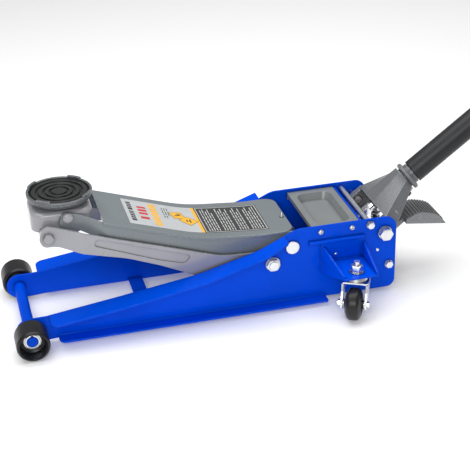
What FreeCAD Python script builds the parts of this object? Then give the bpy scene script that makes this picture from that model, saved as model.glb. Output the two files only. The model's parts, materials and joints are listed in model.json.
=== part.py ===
"""Low-profile hydraulic trolley jack: one STEP file per separate piece.

Millimetres, +Z up, floor at Z = 0.  While it is drawn, the front axle stands at X = 0, +X runs
towards the handle and Y = 0 is the plane between the two side plates.  At export everything is
moved along X so that X = 0 is midway along the whole jack.  "left" is the -Y side.
"""
import FreeCAD
import Part
import math
import os

V = FreeCAD.Vector
X_AXIS = V(1, 0, 0)
Y_AXIS = V(0, 1, 0)
Z_AXIS = V(0, 0, 1)
FIT = 0.05            # radial running clearance of a turning or sliding fit

# ---- driving dimensions ---------------------------------------------------------------------
# side plates (pressed channels, flanges turned outwards)
PLATE_IN = 86.85      # inner face, |Y|
PLATE_T = 4.0
PLATE_OUT = PLATE_IN + PLATE_T
PLATE_BOTTOM = 8.5
PLATE_TOP = 165.5
PLATE_REAR = 731.0
TOP_FLANGE_START = 38.0
TOP_FLANGE_END = 500.0
TOP_FLANGE_OUT = 133.0
LOW_FLANGE_START = 52.0
LOW_FLANGE_END = 583.5
LOW_FLANGE_OUT = 115.0
UNIT_BOLT_AT = (717.2, 60.5)
UNIT_BOLT_R = 5.0
RIVETS_AT = [(604.0, 102.0), (692.3, 95.7)]
RIVET_R = 2.4

# front wheels and axle
WHEEL_R = 31.5
WHEEL_IN = 98.2
WHEEL_OUT = 151.0
WHEEL_HUB_OUT = 127.4
AXLE_R = 11.0
AXLE_END = 132.5
AXLE_RING_AT = 128.8

# lift linkage: arm pivot, link pivot, and the two saddle bracket pins (x, z)
ARM_PIVOT = (515.9, 129.3)
LINK_PIVOT = (475.9, 99.1)
UPPER_PIN = (93.5, 238.5)
LOWER_PIN = (53.5, 208.3)
ARM_SHAFT_R = 12.0
LINK_BOLT_R = 9.0
UPPER_PIN_R = 8.0
LOWER_PIN_R = 7.0
ARM_HALF = 77.0       # top plate half width
ARM_WALL_OUT = 76.0
ARM_WALL_IN = 71.0
EAR_OUT = 56.0
EAR_IN = 50.6
LINK_IN = 77.5
LINK_OUT = 82.5
LINK_NOSE_IN = 62.5
LINK_NOSE_OUT = 67.5
BUSH_IN = 60.0        # arm bushes reach in to this |Y|
BUSH_R = 14.5

# saddle
SADDLE_X = 87.4
SADDLE_TOP = 270.8
PAD_R = 54.7
CUP_R = 61.8
STEM_R = 13.0
BRACKET_TOP = 249.0
CUP_BASE = 258.0

# hydraulic unit
RAM_Z = 69.0
RAM_PIN = (523.8, 64.8)
RAM_PIN_R = 8.0
ROD_R = 11.0
BORE_R = 21.0
CYL_R = 25.0
TANK_R = 34.0
BLOCK_FRONT = 664.0
BLOCK_REAR = 735.0
BLOCK_TOP = 80.0
BASE_Z = 20.0
BASE_T = 6.0
CROSSHEAD_REAR = 539.3
PISTON = (623.0, 637.0)
FILLER_X = 640.0
PLUNGER_X = 731.3
PLUNGER_Y = 26.0
PLUNGER_R = 6.0
PLUNGER_TOP = 118.6
GUIDE_TOP = 94.0      # top of the plunger's guide on the pump block
FOOT_PLUNGER = (737.0, -14.0)
FOOT_PLUNGER_R = 5.0
VALVE_R = 5.0

# handle socket and handle
HANDLE_PIVOT = (706.4, 132.8)
HANDLE_ANGLE = 36.7   # degrees above horizontal at rest
HANDLE_OFFSET = 8.0   # handle axis above the pivot axis
COLLAR_AT = 108.0     # along the handle axis from the pivot
HANDLE_LENGTH = 1150.0
TUBE_R = 19.0
SLEEVE_R = 24.2
PIVOT_BOLT_R = 8.0
PIVOT_BUSH_R = 11.0
CHEEK_OUT = 75.0
CHEEK_IN = 62.0
CHEEK_R = 25.0
ROLLER_AT = (HANDLE_PIVOT[0] + 27.7, HANDLE_PIVOT[1] - 3.9)
ROLLER_R = 9.8
ROLLER_PIN_R = 4.0
LOCK_AT = 86.0        # lock screw, along the handle axis
LOCK_SCREW_R = 4.0
GROOVE_R = 15.6
JOINT_AT = 610.0      # the upper tube starts here, inside the lower one
UPPER_TUBE_R = 16.0
GRIP_FROM = 960.0

# foot pedal
PEDAL_PIVOT = (706.0, 98.0)
PEDAL_PIN_R = 4.0
PEDAL_HALF = 32.0
LEVER_Y = (-20.0, -8.0)

# casters
CASTER_AXIS = (627.0, 152.0)
TRAIL = (-12.5, 23.4)      # from the swivel axis to the wheel, before mirroring
CASTER_WHEEL_R = 32.0
CASTER_WHEEL_W = 32.0
SHELF_TOP = 89.0
LEDGE_TOP = 136.0
LEDGE_OUT = 6.5
FORK_HALF = 25.5
FORK_T = 4.0
FORK_TOP = 75.5
STEM_BOLT_R = 6.0
CASTER_BOLT_R = 4.0

# tray and rear cross members
TRAY_FRONT = 559.3
TRAY_REAR = 657.2
TRAY_TOP = 159.4
TRAY_T = 1.6
RECESS_DEPTH = 15.0
TRAY_SCREWS_AT = [(574.1, 152.6), (638.1, 152.6)]
TRAY_SCREW_R = 3.0
TIE_BAR = (676.0, 153.5)
TIE_BOLT_R = 4.5

# ---- derived values -------------------------------------------------------------------------
ANGLE = math.radians(HANDLE_ANGLE)
HANDLE_DIR = V(math.cos(ANGLE), 0, math.sin(ANGLE))
HANDLE_UP = V(-math.sin(ANGLE), 0, math.cos(ANGLE))
PIVOT_POINT = V(HANDLE_PIVOT[0], 0, HANDLE_PIVOT[1])
VALVE_CENTRE = PIVOT_POINT + HANDLE_UP * HANDLE_OFFSET
TRAIL_ANGLE = math.degrees(math.atan2(TRAIL[1], TRAIL[0]))
TRAIL_LENGTH = math.hypot(TRAIL[0], TRAIL[1])
SWIVEL = V(CASTER_AXIS[0], CASTER_AXIS[1], 0)


# ---- drawing helpers ------------------------------------------------------------------------
def unit(dx, dy):
    length = math.hypot(dx, dy)
    return dx / length, dy / length


def corner_points(before, this, after):
    """Start, middle and end of the arc that rounds a corner, or the corner itself."""
    radius = this[2] if len(this) > 2 else 0.0
    if radius <= 0.0:
        return [(this[0], this[1])]
    ax, ay = unit(before[0] - this[0], before[1] - this[1])
    bx, by = unit(after[0] - this[0], after[1] - this[1])
    half = 0.5 * math.acos(max(-1.0, min(1.0, ax * bx + ay * by)))
    if abs(half - math.pi / 2) < 1e-3:
        return [(this[0], this[1])]
    reach = radius / math.tan(half)
    mx, my = unit(ax + bx, ay + by)
    centre_at = radius / math.sin(half)
    middle = centre_at - radius
    return [
        (this[0] + ax * reach, this[1] + ay * reach),
        (this[0] + mx * middle, this[1] + my * middle),
        (this[0] + bx * reach, this[1] + by * reach),
    ]


def rounded_wire(points, place):
    """Closed wire through (u, v) or (u, v, corner radius) points; place maps (u, v) to space."""
    count = len(points)
    corners = [corner_points(points[i - 1], points[i], points[(i + 1) % count]) for i in range(count)]
    edges = []
    for i in range(count):
        here = corners[i]
        following = corners[(i + 1) % count]
        if len(here) == 3:
            edges.append(Part.Arc(place(*here[0]), place(*here[1]), place(*here[2])).toShape())
        gap = math.dist(here[-1], following[0])
        if gap > 1e-4:
            edges.append(Part.makeLine(place(*here[-1]), place(*following[0])))
    return Part.Wire(edges)


def slab_xz(points, y0, y1):
    """Prism of an outline given as (x, z, radius), between two Y values."""
    face = Part.Face(rounded_wire(points, lambda u, v: V(u, y0, v)))
    return face.extrude(V(0, y1 - y0, 0))


def slab_xy(points, z0, z1):
    face = Part.Face(rounded_wire(points, lambda u, v: V(u, v, z0)))
    return face.extrude(V(0, 0, z1 - z0))


def slab_yz(points, x0, x1):
    face = Part.Face(rounded_wire(points, lambda u, v: V(x0, u, v)))
    return face.extrude(V(x1 - x0, 0, 0))


def box(x0, x1, y0, y1, z0, z1):
    return Part.makeBox(x1 - x0, y1 - y0, z1 - z0, V(x0, y0, z0))


def rod(start, end, radius):
    return Part.makeCylinder(radius, (end - start).Length, start, end - start)


def pipe(start, end, outer, inner):
    return rod(start, end, outer).cut(rod(start, end, inner))


def turned(points, origin, axis, side):
    """Solid of revolution: points are (radius, along axis, corner radius)."""
    wire = rounded_wire(points, lambda r, a: origin + side * r + axis * a)
    return Part.Face(wire).revolve(origin, axis, 360)


def y_rod(at, y0, y1, radius):
    return rod(V(at[0], y0, at[1]), V(at[0], y1, at[1]), radius)


def y_ring(at, y0, y1, outer, inner):
    return pipe(V(at[0], y0, at[1]), V(at[0], y1, at[1]), outer, inner)


def hexagon(base, axis, across_flats, height):
    """Hexagonal prism with a chamfered crown at the far end."""
    side = across_flats / math.sqrt(3.0)
    reference = Z_AXIS if abs(axis.z) < 0.9 else X_AXIS
    u = axis.cross(reference).normalize()
    v = axis.cross(u).normalize()
    corners = []
    for i in range(7):
        angle = math.radians(60 * i)
        corners.append(base + u * (side * math.cos(angle)) + v * (side * math.sin(angle)))
    prism = Part.Face(Part.makePolygon(corners)).extrude(axis * height)
    bevel = 0.12 * across_flats
    crown = turned(
        [(0, 0), (side + 0.2, 0), (side + 0.2, height - bevel * 0.45), (side - bevel, height), (0, height)],
        base, axis, u)
    return prism.common(crown)


def hex_bolt(base, axis, across_flats, head, shank_r, shank, washer_r=0.0, washer_t=0.0):
    """Bolt whose head (on an optional pressed washer) stands at base and whose shank goes in."""
    pieces = [rod(base, base - axis * shank, shank_r)]
    if washer_t > 0.0:
        pieces.append(rod(base, base + axis * washer_t, washer_r))
    pieces.append(hexagon(base + axis * washer_t, axis, across_flats, head))
    return pieces[0].fuse(pieces[1:]).removeSplitter()


def domed_pin(base, axis, head_r, head, shank_r, shank):
    """Pin with a low domed head."""
    side = X_AXIS if abs(axis.x) < 0.9 else Z_AXIS
    return turned([
        (0, -shank), (shank_r, -shank), (shank_r, 0), (head_r, 0), (head_r, 0.4 * head, 0.38 * head_r),
        (0.62 * head_r, head, 0.77 * head_r), (0, head)], base, axis, side)


def mirrored(shape):
    """The same piece on the -Y side."""
    return shape.mirror(V(0, 0, 0), Y_AXIS)


def both_sides(shape):
    return Part.makeCompound([mirrored(shape), shape])


def joined(first, *others):
    return first.fuse(list(others)).removeSplitter()


def along(distance):
    """Point on the handle axis."""
    return VALVE_CENTRE + HANDLE_DIR * distance


def slab_handle(points, y0, y1):
    """Prism of an outline given as (along the handle, above the pivot, radius)."""
    start = PIVOT_POINT + Y_AXIS * y0
    face = Part.Face(rounded_wire(points, lambda t, n: start + HANDLE_DIR * t + HANDLE_UP * n))
    return face.extrude(V(0, y1 - y0, 0))


def handle_box(start, length, half):
    """Square bar along the handle axis."""
    bar = box(0.0, length, -half, half, -half, half)
    bar.rotate(V(0, 0, 0), Y_AXIS, -HANDLE_ANGLE)
    bar.translate(along(start))
    return bar


# ---- chassis --------------------------------------------------------------------------------
WEB_OUTLINE = [
    (-25.0, 56.5, 24.99), (32.8, 57.0, 60), (173.9, 75.8, 400), (327.0, 97.9, 400),
    (450.6, 130.6, 200), (526.0, PLATE_TOP, 45), (PLATE_REAR, PLATE_TOP, 24),
    (PLATE_REAR, PLATE_BOTTOM, 17), (54.0, PLATE_BOTTOM, 60), (22.0, 6.5, 60), (-25.0, 6.5, 24.99),
]


def side_plate():
    web = slab_xz(WEB_OUTLINE, PLATE_IN, PLATE_OUT)
    solid = slab_xz(WEB_OUTLINE, PLATE_IN, TOP_FLANGE_OUT)
    lowered = solid.translated(V(0, 0, -PLATE_T))
    plan = slab_xy([
        (TOP_FLANGE_START, PLATE_IN), (TOP_FLANGE_START, TOP_FLANGE_OUT, 14),
        (170.0, TOP_FLANGE_OUT, 300), (455.0, 127.0, 120), (TOP_FLANGE_END, 119.0, 2),
        (TOP_FLANGE_END, PLATE_IN)], 30, 200)
    top_flange = solid.cut(lowered).common(plan)
    low_flange = slab_xy([
        (LOW_FLANGE_START, PLATE_IN), (LOW_FLANGE_START, LOW_FLANGE_OUT, 14),
        (LOW_FLANGE_END, LOW_FLANGE_OUT, 2), (LOW_FLANGE_END, PLATE_IN)],
        PLATE_BOTTOM, PLATE_BOTTOM + PLATE_T)
    plate = joined(web, top_flange, low_flange)
    bends = [edge for edge in plate.Edges if is_bend(edge)]
    plate = plate.makeFillet(4.0, bends)
    holes = [y_rod((0.0, WHEEL_R), PLATE_IN - 1, PLATE_OUT + 1, AXLE_R)]
    holes.append(y_rod(ARM_PIVOT, PLATE_IN - 1, PLATE_OUT + 1, ARM_SHAFT_R))
    holes.append(y_rod(LINK_PIVOT, PLATE_IN - 1, PLATE_OUT + 1, LINK_BOLT_R))
    holes.append(y_rod(HANDLE_PIVOT, PLATE_IN - 1, PLATE_OUT + 1, PIVOT_BOLT_R))
    holes.append(y_rod(UNIT_BOLT_AT, PLATE_IN - 1, PLATE_OUT + 1, UNIT_BOLT_R))
    holes.append(y_rod(TIE_BAR, PLATE_IN - 1, PLATE_OUT + 1, TIE_BOLT_R))
    for at in TRAY_SCREWS_AT:
        holes.append(y_rod(at, PLATE_IN - 1, PLATE_OUT + 1, TRAY_SCREW_R))
    for at in RIVETS_AT:
        holes.append(y_rod(at, PLATE_IN - 1, PLATE_OUT + 1, RIVET_R))
    return plate.cut(holes)


def is_bend(edge):
    """The inside corners between the web's outer face and the two flanges."""
    bounds = edge.BoundBox
    on_web = abs(bounds.YMin - PLATE_OUT) < 0.01 and abs(bounds.YMax - PLATE_OUT) < 0.01
    if not on_web or bounds.XLength < 5 or bounds.XMin < TOP_FLANGE_START - 0.1:
        return False
    if abs(bounds.ZMax - PLATE_BOTTOM - PLATE_T) < 0.1:
        return True
    middle = edge.valueAt(0.5 * (edge.FirstParameter + edge.LastParameter))
    underside = rounded_wire(WEB_OUTLINE, lambda u, v: V(u, PLATE_OUT, v - PLATE_T))
    near_top = middle.z > 40 and bounds.XMax < TOP_FLANGE_END + 0.1
    return near_top and Part.Vertex(middle).distToShape(underside)[0] < 0.05


def front_axle():
    axle = turned([
        (0, -AXLE_END), (AXLE_R - 1.5, -AXLE_END), (AXLE_R, 1.5 - AXLE_END), (AXLE_R, AXLE_END - 1.5),
        (AXLE_R - 1.5, AXLE_END), (0, AXLE_END)], V(0, 0, WHEEL_R), Y_AXIS, X_AXIS)
    groove = y_ring((0.0, WHEEL_R), AXLE_RING_AT, AXLE_RING_AT + 1.6, AXLE_R + 1, AXLE_R - 1.2)
    return axle.cut([groove, mirrored(groove)])


def wheel_retaining_rings():
    """A washer and a snap ring on each end of the axle."""
    washer = y_ring((0.0, WHEEL_R), WHEEL_HUB_OUT + 0.2, AXLE_RING_AT, 16.5, AXLE_R)
    ring = y_ring((0.0, WHEEL_R), AXLE_RING_AT, AXLE_RING_AT + 1.6, 14.0, AXLE_R - 1.2)
    gap = box(-2.5, 2.5, AXLE_RING_AT - 1, AXLE_RING_AT + 3, WHEEL_R, WHEEL_R + 20)
    ring = ring.cut(gap)
    return Part.makeCompound([mirrored(washer), washer, mirrored(ring), ring])


def front_wheel():
    inner = AXLE_R + FIT
    return turned([
        (inner, WHEEL_IN), (18.0, WHEEL_IN, 1.5), (19.5, WHEEL_IN + 7, 2), (24.0, WHEEL_IN + 7, 2),
        (25.5, WHEEL_IN + 1.5, 1), (WHEEL_R - 2.5, WHEEL_IN + 1.5, 1), (WHEEL_R, WHEEL_IN + 5.5, 3),
        (WHEEL_R, WHEEL_OUT - 4.5, 4), (WHEEL_R - 2.5, WHEEL_OUT, 1.5), (WHEEL_R - 5.5, WHEEL_OUT, 1.5),
        (WHEEL_R - 8.0, WHEEL_HUB_OUT + 3, 3), (18.5, WHEEL_HUB_OUT, 2), (inner, WHEEL_HUB_OUT)],
        V(0, 0, WHEEL_R), Y_AXIS, X_AXIS)


def cross_bars():
    """Flat bar low between the plates in front, and an upright one behind the tray."""
    front = box(219.5, 247.5, -PLATE_IN, PLATE_IN, PLATE_BOTTOM, PLATE_BOTTOM + 5)
    rear = box(659.5, 663.5, -PLATE_IN, PLATE_IN, 112.0, 157.5)
    return Part.makeCompound([front, rear])


def rear_base_plate():
    plan = [(588.0, -PLATE_IN), (PLATE_REAR - 8, -PLATE_IN), (PLATE_REAR - 8, PLATE_IN), (588.0, PLATE_IN)]
    return slab_xy(plan, BASE_Z, BASE_Z + BASE_T)


def caster_bracket():
    """Shelf with a back plate on the web, a rounded ledge along its top and two tapering gussets."""
    shelf = slab_xy([
        (575.0, PLATE_OUT), (594.0, 176.0, 5), (664.0, 176.0, 5), (664.0, PLATE_OUT)],
        SHELF_TOP - 4, SHELF_TOP)
    back = box(575.0, 664.0, PLATE_OUT, PLATE_OUT + 4, SHELF_TOP - 26, LEDGE_TOP - 2)
    back = back.makeFillet(2.5, [e for e in back.Edges if on_outer_rim(e)])
    ledge = box(549.0, 664.0, PLATE_OUT, PLATE_OUT + LEDGE_OUT, LEDGE_TOP - 7, LEDGE_TOP)
    ledge = ledge.makeFillet(3.0, [e for e in ledge.Edges if e.BoundBox.YMin > PLATE_OUT + LEDGE_OUT - 0.1])
    gusset_profile = [
        (PLATE_OUT, 121.0), (PLATE_OUT + 6, 121.0, 3), (174.0, SHELF_TOP + 3, 3), (174.0, SHELF_TOP - 4),
        (PLATE_OUT + 14, SHELF_TOP - 24, 6), (PLATE_OUT, SHELF_TOP - 24)]
    rear_gusset = slab_yz(gusset_profile, 660.0, 664.0)
    front_gusset = slab_yz(gusset_profile, -2.0, 2.0)
    lean = math.degrees(math.atan2(594.0 - 575.0, 176.0 - PLATE_OUT))
    front_gusset.rotate(V(0, PLATE_OUT, 0), Z_AXIS, -lean)
    front_gusset.translate(V(577.5, 0, 0))
    outside = box(560.0, 700.0, 60.0, PLATE_OUT, 0.0, 200.0)
    bracket = joined(shelf, back, ledge, rear_gusset, front_gusset).cut(outside)
    holes = [rod(V(*CASTER_AXIS, 60), V(*CASTER_AXIS, 100), STEM_BOLT_R)]
    holes.append(y_rod(RIVETS_AT[0], PLATE_OUT - 1, PLATE_OUT + 6, RIVET_R))
    return bracket.cut(holes)


def on_outer_rim(edge):
    """Edges round the raised face of the back plate."""
    bounds = edge.BoundBox
    return bounds.YMin > PLATE_OUT + 3.9


# ---- tray and rear cross members --------------------------------------------------------------
def rounded_rectangle(x0, x1, half_y, radius, z):
    points = [(x0, -half_y, radius), (x1, -half_y, radius), (x1, half_y, radius), (x0, half_y, radius)]
    return rounded_wire(points, lambda u, v: V(u, v, z))


def recess(grow, z_top, z_bottom):
    """Tapered pocket with rounded corners; grow moves its walls outwards."""
    x0, x1 = TRAY_FRONT + 13.0, TRAY_REAR - 13.0
    rim = rounded_rectangle(x0 - grow, x1 + grow, 71.0 + grow, 17.0 + grow, z_top)
    floor = rounded_rectangle(x0 + 7 - grow, x1 - 7 + grow, 64.0 + grow, 12.0 + grow, z_bottom)
    return Part.makeLoft([rim, floor], True, True)


def tool_tray():
    pan = box(TRAY_FRONT, TRAY_REAR, -PLATE_IN, PLATE_IN, TRAY_TOP - TRAY_T, TRAY_TOP)
    side = box(TRAY_FRONT, TRAY_REAR, PLATE_IN - TRAY_T, PLATE_IN, TRAY_TOP - 16, TRAY_TOP)
    lip = box(TRAY_FRONT, TRAY_FRONT + TRAY_T, -PLATE_IN, PLATE_IN, TRAY_TOP - 9, TRAY_TOP)
    rear_lip = box(TRAY_REAR - TRAY_T, TRAY_REAR, -PLATE_IN, PLATE_IN, TRAY_TOP - 9, TRAY_TOP)
    pocket = recess(TRAY_T, TRAY_TOP, TRAY_TOP - RECESS_DEPTH - TRAY_T)
    hollow = recess(0.0, TRAY_TOP, TRAY_TOP - RECESS_DEPTH)
    tray = joined(pan, side, mirrored(side), lip, rear_lip, pocket).cut(hollow)
    holes = [y_rod(at, PLATE_IN - 6, PLATE_IN + 1, TRAY_SCREW_R) for at in TRAY_SCREWS_AT]
    return tray.cut(holes + [mirrored(hole) for hole in holes])


def tray_screws():
    screws = []
    for x, z in TRAY_SCREWS_AT:
        head = turned([
            (0, 0), (5.6, 0), (5.6, 1.2, 0.6), (3.6, 3.4, 2.5), (0, 3.4)],
            V(x, PLATE_OUT, z), Y_AXIS, X_AXIS)
        slot = box(x - 0.6, x + 0.6, PLATE_OUT + 2.2, PLATE_OUT + 5, z - 3, z + 3)
        cross = box(x - 3, x + 3, PLATE_OUT + 2.2, PLATE_OUT + 5, z - 0.6, z + 0.6)
        shank = y_rod((x, z), PLATE_IN - 5, PLATE_OUT, TRAY_SCREW_R)
        screw = joined(head, shank).cut([slot, cross])
        screws += [mirrored(screw), screw]
    return Part.makeCompound(screws)


def tie_bar():
    bar = y_rod(TIE_BAR, -PLATE_IN, PLATE_IN, 6.0)
    holes = [y_rod(TIE_BAR, PLATE_IN - 18, PLATE_IN + 1, TIE_BOLT_R)]
    return bar.cut([holes[0], mirrored(holes[0])])


def frame_fasteners():
    """Bolts of the tie bar and of the hydraulic unit, and the domed rivets of the side plates."""
    at_tie = V(TIE_BAR[0], PLATE_OUT, TIE_BAR[1])
    at_unit = V(UNIT_BOLT_AT[0], PLATE_OUT, UNIT_BOLT_AT[1])
    at_bracket = V(RIVETS_AT[0][0], PLATE_OUT + 4, RIVETS_AT[0][1])
    at_web = V(RIVETS_AT[1][0], PLATE_OUT, RIVETS_AT[1][1])
    pieces = [
        hex_bolt(at_tie, Y_AXIS, 13.0, 5.5, TIE_BOLT_R, PLATE_T + 16, 8.0, 1.5),
        hex_bolt(at_unit, Y_AXIS, 13.5, 6.0, UNIT_BOLT_R, PLATE_T + 14, 8.4, 1.6),
        domed_pin(at_bracket, Y_AXIS, 3.6, 2.0, RIVET_R, 8.0),
        domed_pin(at_web, Y_AXIS, 3.6, 2.0, RIVET_R, 4.0),
    ]
    return Part.makeCompound(pieces + [mirrored(piece) for piece in pieces])


# ---- lift arm -------------------------------------------------------------------------------
ARM_TOP_LINE = [
    (156.0, 228.5), (338.0, 169.0, 330), (458.0, 158.0, 200), (526.0, 158.0),
]
ARM_TOP_T = 5.0


def arm_plan_band():
    """Plan view of one bent side wall: the ear in front steps in between the links."""
    return slab_xy([
        (50.0, EAR_IN), (116.0, EAR_IN, 40), (162.0, ARM_WALL_IN, 40), (560.0, ARM_WALL_IN),
        (560.0, ARM_WALL_OUT), (160.0, ARM_WALL_OUT, 40), (112.0, EAR_OUT, 40), (50.0, EAR_OUT)], 0, 400)


def lift_arm():
    top = ARM_TOP_LINE
    band = slab_xz(
        top + [(526.0, 153.0)] + [(458.0, 153.0, 200), (338.0, 164.0, 330), (156.0, 223.5)],
        -ARM_HALF, ARM_HALF)
    plan = slab_xy([
        (150.0, -ARM_HALF), (526.0, -ARM_HALF, 24), (526.0, ARM_HALF, 24), (150.0, ARM_HALF)], 0, 300)
    top_plate = band.common(plan)
    wall_outline = [
        (74.0, 222.0, 9), (84.5, 249.5, 8), (96.0, 249.5, 8), (134.0, 235.5, 40), (150.0, 229.5, 30),
        (338.0, 166.0, 330), (458.0, 155.5, 200), (535.0, 155.5, 24), (541.0, 106.0, 26),
        (496.0, 104.0, 30), (432.0, 112.0, 90), (338.0, 126.0, 300), (160.0, 190.0, 200), (102.0, 216.0, 20)]
    walls = slab_xz(wall_outline, 40.0, 80.0).common(arm_plan_band())
    torque_tube = y_rod(ARM_PIVOT, -ARM_WALL_IN, ARM_WALL_IN, 19.0)
    lug = slab_xz([
        (ARM_PIVOT[0] - 24, ARM_PIVOT[1] + 12, 10), (ARM_PIVOT[0] + 24, ARM_PIVOT[1] + 12, 10),
        (RAM_PIN[0] + 15, RAM_PIN[1] - 15, 14.5), (RAM_PIN[0] - 15, RAM_PIN[1] - 15, 14.5)], 22.0, 32.0)
    front_tie = box(168.0, 173.0, -ARM_WALL_IN, ARM_WALL_IN, 196.0, 222.0)
    mid_tie = box(350.0, 355.0, -ARM_WALL_IN, ARM_WALL_IN, 130.0, 164.0)
    arm = joined(top_plate, walls, mirrored(walls), torque_tube, lug, mirrored(lug), front_tie, mid_tie)
    corner = [e for e in arm.Edges if is_arm_shoulder(e)]
    arm = arm.makeFillet(2.0, corner)
    bores = [
        y_rod(ARM_PIVOT, -100, 100, ARM_SHAFT_R + 0.4),
        y_rod(ARM_PIVOT, BUSH_IN, 100, BUSH_R), y_rod(ARM_PIVOT, -100, -BUSH_IN, BUSH_R),
        y_rod(RAM_PIN, -50, 50, RAM_PIN_R), y_rod(UPPER_PIN, -90, 90, UPPER_PIN_R)]
    return arm.cut(bores)


def is_arm_shoulder(edge):
    """Long edges along both sides of the top plate's upper face."""
    bounds = edge.BoundBox
    on_side = abs(abs(bounds.YMin) - ARM_HALF) < 0.01 and bounds.YLength < 0.01
    return on_side and bounds.XLength > 40 and bounds.ZMax > arm_top_at(bounds.XMin) - 1.0


def arm_top_at(x):
    """Approximate height of the top plate's upper face."""
    front, knee, rear = ARM_TOP_LINE[0], ARM_TOP_LINE[1], ARM_TOP_LINE[2]
    if x < knee[0]:
        return front[1] + (x - front[0]) * (knee[1] - front[1]) / (knee[0] - front[0])
    return max(rear[1], knee[1] + (x - knee[0]) * (rear[1] - knee[1]) / (rear[0] - knee[0]))


def arm_bushes():
    return both_sides(y_ring(ARM_PIVOT, BUSH_IN, ARM_WALL_OUT, BUSH_R, ARM_SHAFT_R + FIT))


def arm_pivot_shaft():
    shaft = y_rod(ARM_PIVOT, -PLATE_OUT, PLATE_OUT, ARM_SHAFT_R)
    head = turned([
        (0, 0), (13.6, 0), (13.6, 4.6, 1.2), (0, 4.6)],
        V(ARM_PIVOT[0], PLATE_OUT, ARM_PIVOT[1]), Y_AXIS, X_AXIS)
    return joined(shaft, head, mirrored(head))


def pivot_spacers():
    """Plain rings that keep the wheels, arm, links and handle socket off the side plates."""
    axle = y_ring((0.0, WHEEL_R), PLATE_OUT, WHEEL_IN - 0.2, 17.0, AXLE_R)
    socket = y_ring(HANDLE_PIVOT, CHEEK_OUT + 0.3, PLATE_IN, 13.0, PIVOT_BOLT_R)
    arm = y_ring(ARM_PIVOT, ARM_WALL_OUT + 0.3, PLATE_IN, 18.0, ARM_SHAFT_R)
    link = y_ring(LINK_PIVOT, LINK_OUT + 0.2, PLATE_IN, 16.0, LINK_BOLT_R)
    rings = [axle, socket, arm, link]
    return Part.makeCompound(rings + [mirrored(ring) for ring in rings])


def link_pivot_bolts():
    """Studs whose plain inner ends carry the lower links, each with a nut and its washer."""
    base = V(LINK_PIVOT[0], PLATE_OUT, LINK_PIVOT[1])
    stud = rod(base - Y_AXIS * (PLATE_OUT - LINK_IN), base + Y_AXIS * 12.6, LINK_BOLT_R)
    nut = joined(rod(base, base + Y_AXIS * 2.5, 14.5), hexagon(base + Y_AXIS * 2.5, Y_AXIS, 24.0, 7.5))
    nut = nut.cut(y_rod(LINK_PIVOT, PLATE_OUT - 1, PLATE_OUT + 20, LINK_BOLT_R))
    return Part.makeCompound([mirrored(stud), stud, mirrored(nut), nut])


def arm_pins():
    """The crank pin that works in the ram's crosshead, and the two pins of the saddle bracket."""
    saddle_pin = domed_pin(V(UPPER_PIN[0], EAR_OUT, UPPER_PIN[1]), Y_AXIS, 10.4, 5.6, UPPER_PIN_R, 32.0)
    return Part.makeCompound([y_rod(RAM_PIN, -35.0, 35.0, RAM_PIN_R), saddle_pin, mirrored(saddle_pin)])


# ---- lower links ----------------------------------------------------------------------------
def lower_link():
    outline = [
        (36.5, 205.0, 13), (41.0, 225.0, 9), (54.0, 231.5, 10), (82.0, 222.5, 40), (110.0, 216.5, 60),
        (194.0, 188.5, 300), (280.0, 160.0, 300), (378.0, 127.0, 120), (438.0, 123.5, 60),
        (474.0, 125.0, 20), (499.0, 120.0, 22), (499.0, 78.0, 22), (455.0, 75.0, 24), (395.0, 84.0, 50),
        (326.0, 93.0, 18), (256.0, 127.0, 120), (194.0, 152.0, 200), (107.0, 175.0, 60), (66.0, 189.0, 40),
        (42.0, 190.0, 13)]
    plan = slab_xy([
        (20.0, LINK_NOSE_IN), (78.0, LINK_NOSE_IN, 30), (116.0, LINK_IN, 30), (540.0, LINK_IN),
        (540.0, LINK_OUT), (114.0, LINK_OUT, 30), (75.0, LINK_NOSE_OUT, 30), (20.0, LINK_NOSE_OUT)], 0, 400)
    plate = slab_xz(outline, 50.0, 90.0).common(plan)
    panel = slab_xz([
        (133.0, 187.0, 6), (140.0, 201.0, 6), (318.0, 139.0, 6), (306.0, 122.0, 12), (252.0, 139.0, 60)],
        LINK_OUT - 2.0, LINK_OUT + 5)
    plate = plate.cut(panel)
    holes = [
        y_rod(LINK_PIVOT, 50, 100, LINK_BOLT_R + FIT),
        y_rod(LOWER_PIN, 50, 100, LOWER_PIN_R)]
    return plate.cut(holes)


def link_front_bolts():
    base = V(LOWER_PIN[0], LINK_NOSE_OUT, LOWER_PIN[1])
    return both_sides(hex_bolt(base, Y_AXIS, 17.0, 7.0, LOWER_PIN_R, 38.0, 10.2, 2.0))


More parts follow.
